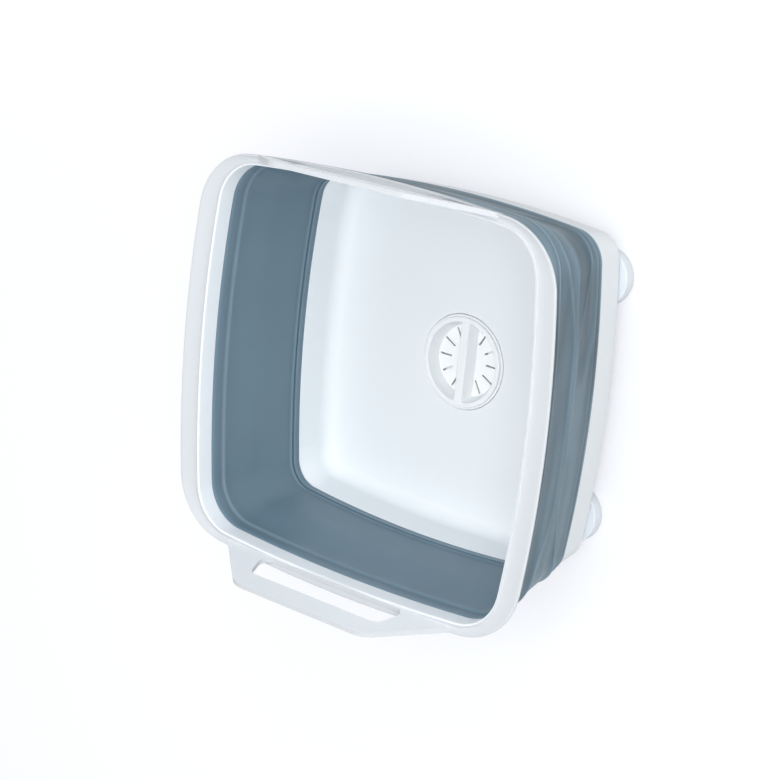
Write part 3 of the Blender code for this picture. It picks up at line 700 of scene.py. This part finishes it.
def wall_outline(z):
    """The outline of the soft wall's inner face at a height."""
    if z <= BAND_TOP_Z:
        return TRAY_LINE
    if z <= FOLD_Z:
        share = (z - BAND_TOP_Z) / (FOLD_Z - BAND_TOP_Z)
        return blended(grown(TRAY_LINE, BAND_STEP), FOLD_LINE, share)
    if z <= HEAD_BAND_Z:
        return blended(FOLD_LINE, SKIRT_LINE, (z - FOLD_Z) / (HEAD_BAND_Z - FOLD_Z))
    return SKIRT_LINE


def corner_share(point):
    """0 along the sides and 1 at the corners."""
    reach = min(abs(point.x), abs(point.y)) / max(abs(point.x), abs(point.y))
    share = min(1, max(0, (reach - CORNER_START) / CORNER_SPAN))
    return share * share * (3 - 2 * share)


def panel_ring(z, offset, dip, fill):
    """A ring of the outer face: its corners lower by a dip, its sides further out by a fill."""
    levels = []
    for step in range(DIP_STEPS + 1):
        share = step / DIP_STEPS
        height = z - dip * share
        levels.append(ring(grown(wall_outline(height), offset + fill * (1 - share)), height))
    points = []
    for index, start in enumerate(levels[0]):
        place = DIP_STEPS * corner_share(start)
        low = min(DIP_STEPS - 1, int(place))
        points.append(levels[low][index].lerp(levels[low + 1][index], place - low))
    return points


inside_rings = [ring(grown(wall_outline(z), offset), z) for z, offset in INNER_WALL]
outside_rings = [panel_ring(*row) for row in OUTER_WALL]
for z in (WALL_HEAD_Z, SKIRT_FOOT_Z - WALL_SEAT_GAP):
    outside_rings.append(ring(grown(SKIRT_LINE, SKIRT_BACK_OFFSET), z))
wall = add_piece("soft_wall", loft("soft_wall", inside_rings + outside_rings), WALL_RUBBER, sharp=50)
inside_faces = len(inside_rings) * ring_points
# The outer face gets the darker copy of the rubber: painted shade
add_painted_shade(wall.data, CREASED_RUBBER_PAINTED_SHADE, lambda face: face.index >= inside_faces)
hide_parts("soft_wall_upper", "soft_wall_fold")
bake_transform(wall)


# Tray and feet


def tray_section():
    """Rings from the drain's hole over the floor and the tray's lip, and back under the floor."""
    floor_corner = (-FLOOR_INSET - FLOOR_FILLET, FLOOR_Z + FLOOR_FILLET)
    floor_edge = arc(floor_corner, FLOOR_FILLET, -math.pi / 2, 0, 12)
    lip = [
        (-LIP_EDGE, TRAY_TOP_Z - LIP_EDGE),
        (0, TRAY_TOP_Z),
        (TRAY_WALL - LIP_EDGE, TRAY_TOP_Z),
        (TRAY_WALL, TRAY_TOP_Z - LIP_EDGE),
    ]
    under_corner = (TRAY_WALL - FLOOR_INSET - UNDERSIDE_FILLET, TRAY_UNDERSIDE_Z + UNDERSIDE_FILLET)
    under_edge = arc(under_corner, UNDERSIDE_FILLET, 0, -math.pi / 2, 8)
    rings = [
        round_ring(DRAIN_HOLE_RADIUS, BOSS_Z),
        round_ring(DRAIN_HOLE_RADIUS, RECESS_Z),
        round_ring(RECESS_RADIUS, RECESS_Z),
        round_ring(RECESS_RADIUS, FLOOR_Z - RECESS_EDGE),
        round_ring(RECESS_RADIUS + RECESS_EDGE, FLOOR_Z),
    ]
    rings += [round_ring(radius, FLOOR_Z) for radius in FLOOR_RINGS]
    rings += rings_along(TRAY_LINE, [*floor_edge, *lip, *under_edge])
    rings += [round_ring(BOSS_RADIUS + 0.0002, TRAY_UNDERSIDE_Z), round_ring(BOSS_RADIUS, BOSS_Z)]
    return rings


tray = add_piece("tray", loft("tray", tray_section()), BASE_PLASTIC)
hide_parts("base_tray")
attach(tray, BODY_BASE)

foot_section = [
    (0, FOOT_TOP_Z),
    (FOOT_RADIUS, FOOT_TOP_Z),
    *arc((FOOT_RADIUS, FOOT_TOP_Z - FOOT_TOP_ROUND), FOOT_TOP_ROUND, math.pi / 2, 0, 4),
    *arc((FOOT_BOTTOM_RADIUS, FOOT_BOTTOM_ROUND), FOOT_BOTTOM_ROUND, 0, -math.pi / 2, 6),
    (0, 0),
]
for foot_name in ("foot_front_left", "foot_front_right", "foot_back_left", "foot_back_right"):
    low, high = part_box(foot_name)
    middle = (low + high) / 2
    foot = add_piece("pad_" + foot_name, lathe(foot_name, foot_section, steps=FOOT_STEPS), FOOT_RUBBER)
    foot.location = (middle.x, middle.y, 0)
    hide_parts(foot_name)
    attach(foot, BODY_BASE)


# Drain


def spoke_mesh(spokes, count, inner, outer, width, low, high):
    """Boxes that point outwards at places of an even star, and cut right through from low to high."""
    bottom = low - CUT_MARGIN
    top = high + CUT_MARGIN
    shape = bmesh.new()
    for spoke in spokes:
        box = bmesh.ops.create_cube(shape, size=1)["verts"]
        bmesh.ops.scale(shape, vec=(outer - inner, width, top - bottom), verts=box)
        bmesh.ops.translate(shape, vec=((outer + inner) / 2, 0, (bottom + top) / 2), verts=box)
        turned = Matrix.Rotation(math.radians(360) * spoke / count, 3, "Z")
        bmesh.ops.rotate(shape, cent=(0, 0, 0), matrix=turned, verts=box)
    return finished_mesh(shape, "spokes")


def bar_mesh():
    """The dial's grip bar, narrower at its top, cut to the dial's own outline."""
    section = [
        (-BAR_FOOT_HALF, WELL_Z - 0.0007, 0),
        (BAR_FOOT_HALF, WELL_Z - 0.0007, 0),
        (BAR_FOOT_HALF, WELL_Z, 0),
        (BAR_TOP_HALF, DIAL_TOP_Z - 0.0004, 0.0012),
        (-BAR_TOP_HALF, DIAL_TOP_Z - 0.0004, 0.0012),
        (-BAR_FOOT_HALF, WELL_Z, 0),
    ]
    mesh = plate_mesh("bar", [rounded(section, 8)], BAR_LENGTH)
    mesh.transform(Matrix.Rotation(math.pi / 2, 4, "X"))
    bar = add_piece("bar", mesh, DRAIN_PLASTIC)
    envelope = [
        (0, DIAL_TOP_Z),
        (0.0301, DIAL_TOP_Z),
        (0.0272, WELL_Z),
        (0.0272, DIAL_UNDERSIDE_Z),
        (0, DIAL_UNDERSIDE_Z),
    ]
    combine(bar, lathe("envelope", envelope), "INTERSECT")
    mesh = bar.data
    bpy.data.objects.remove(bar, do_unlink=True)
    return mesh


def dial_mesh():
    """The dial's cup, without its bar and slots."""
    profile = [
        (0, WELL_Z),
        (0.0255, WELL_Z),
        *arc((0.0256, WELL_Z + 0.0010), 0.0010, -math.pi / 2, -0.2, 4),
        *arc((0.0303, DIAL_TOP_Z - 0.0008), 0.0008, math.pi, math.pi / 2, 5),
        *arc((0.0325, DIAL_TOP_Z - 0.0007), 0.0007, math.pi / 2, 0, 5),
        (0.0332, DIAL_FLANGE_Z),
        (0.0308, DIAL_FLANGE_Z),
        (0.0278, DIAL_UNDERSIDE_Z),
        (0, DIAL_UNDERSIDE_Z),
    ]
    return lathe("dial", profile)


dial = add_piece("dial", dial_mesh(), DRAIN_PLASTIC)
combine(dial, bar_mesh(), "UNION")
clear_of_bar = [spoke for spoke in range(SLOT_COUNT) if spoke % (SLOT_COUNT // 2) != SLOT_COUNT // 4]
dial_slots = spoke_mesh(
    clear_of_bar, SLOT_COUNT, SLOT_START, SLOT_END, DIAL_SLOT_WIDTH, DIAL_UNDERSIDE_Z, WELL_Z
)
combine(dial, dial_slots, "DIFFERENCE")
smooth(dial.data)
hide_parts("drain_dial")
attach(dial, BODY_DIAL)

housing = add_piece("housing", lathe("housing", HOUSING_SECTION, closed=True), DRAIN_PLASTIC)
housing_slots = spoke_mesh(
    range(SLOT_COUNT),
    SLOT_COUNT,
    SLOT_START,
    SLOT_END,
    HOUSING_SLOT_WIDTH,
    HOUSING_UNDERSIDE_Z,
    HOUSING_FLOOR_Z,
)
combine(housing, housing_slots, "DIFFERENCE")
smooth(housing.data)
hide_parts("drain_housing")
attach(housing, BODY_BASE)

nut = add_piece("nut", lathe("nut", NUT_SECTION, closed=True), DRAIN_PLASTIC)
nut_grips = spoke_mesh(range(NUT_GRIPS), NUT_GRIPS, 0.0377, 0.0405, 0.0060, NUT_UNDERSIDE_Z, NUT_TOP_Z)
combine(nut, nut_grips, "DIFFERENCE")
smooth(nut.data)
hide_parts("lock_nut")
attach(nut, BODY_BASE)

for node_name, node_material in (
    ("housing_gasket", SEAL_RUBBER),
    ("seal_disc", SEAL_RUBBER),
    ("dial_rivet", DRAIN_PLASTIC),
):
    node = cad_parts[node_name]
    node.data.materials.clear()
    node.data.materials.append(node_material)


# Floor, light and camera


def larger(nodes, links, first, second):
    greater = nodes.new("ShaderNodeMath")
    greater.operation = "MAXIMUM"
    links.new(first, greater.inputs[0])
    links.new(second, greater.inputs[1])
    return greater.outputs["Value"]


def seen_rays(nodes, links):
    """1 for rays that show a surface as it is: camera, glossy and transmission ones."""
    rays = nodes.new("ShaderNodeLightPath").outputs
    mirrored = larger(nodes, links, rays["Is Glossy Ray"], rays["Is Transmission Ray"])
    return larger(nodes, links, rays["Is Camera Ray"], mirrored)


def floor_material():
    """A pale floor that shows white to the camera and keeps the object's shadow."""
    material, nodes, links = new_material("floor")
    nodes.remove(nodes["Principled BSDF"])
    plain = nodes.new("ShaderNodeBsdfDiffuse")
    plain.inputs["Color"].default_value = (FLOOR_GREY, FLOOR_GREY, FLOOR_GREY, 1)
    glow = nodes.new("ShaderNodeEmission")
    glow.inputs["Color"].default_value = (0.90, 0.93, 1, 1)
    links.new(ranged(nodes, links, seen_rays(nodes, links), 0, 1, 0, FLOOR_GLOW), glow.inputs["Strength"])
    both = nodes.new("ShaderNodeAddShader")
    links.new(plain.outputs["BSDF"], both.inputs[0])
    links.new(glow.outputs["Emission"], both.inputs[1])
    links.new(both.outputs["Shader"], nodes["Material Output"].inputs["Surface"])
    return material


floor_mesh = bpy.data.meshes.new("floor")
floor_corners = [(x * FLOOR_HALF, y * FLOOR_HALF, 0) for x, y in ((-1, -1), (1, -1), (1, 1), (-1, 1))]
floor_mesh.from_pydata(floor_corners, [], [(0, 1, 2, 3)])
floor_mesh.materials.append(floor_material())
floor = bpy.data.objects.new("floor", floor_mesh)
bpy.context.scene.collection.objects.link(floor)

world = bpy.data.worlds.new("studio")
bpy.context.scene.world = world
world.use_nodes = True
sky_nodes = world.node_tree.nodes
sky_links = world.node_tree.links
sky = sky_nodes["Background"]
sky.inputs["Color"].default_value = (1, 1, 1, 1)
sky_level = ranged(sky_nodes, sky_links, seen_rays(sky_nodes, sky_links), 0, 1, SKY_LIGHT, 1)
sky_links.new(sky_level, sky.inputs["Strength"])

for lamp_name, lamp_place, lamp_size, lamp_power in LAMPS:
    lamp = bpy.data.lights.new(lamp_name, "AREA")
    lamp.size = lamp_size
    lamp.energy = lamp_power
    holder = bpy.data.objects.new(lamp_name, lamp)
    holder.location = lamp_place
    holder.rotation_mode = "QUATERNION"
    holder.rotation_quaternion = (Vector(LAMP_TARGET) - Vector(lamp_place)).to_track_quat("-Z", "Y")
    bpy.context.scene.collection.objects.link(holder)

lens = bpy.data.cameras.new("camera")
lens.sensor_width = 36
lens.lens = lens.sensor_width * FOCAL_LENGTH / PICTURE_SIZE
lens.clip_start = 0.01
lens.clip_end = 50
camera = bpy.data.objects.new("camera", lens)
camera.matrix_world = Matrix.Translation(CAMERA_PLACE) @ Matrix(CAMERA_AXES).transposed().to_4x4()
bpy.context.scene.collection.objects.link(camera)
bpy.context.scene.camera = camera

bpy.context.scene.view_settings.view_transform = "Standard"

bpy.context.view_layer.update()
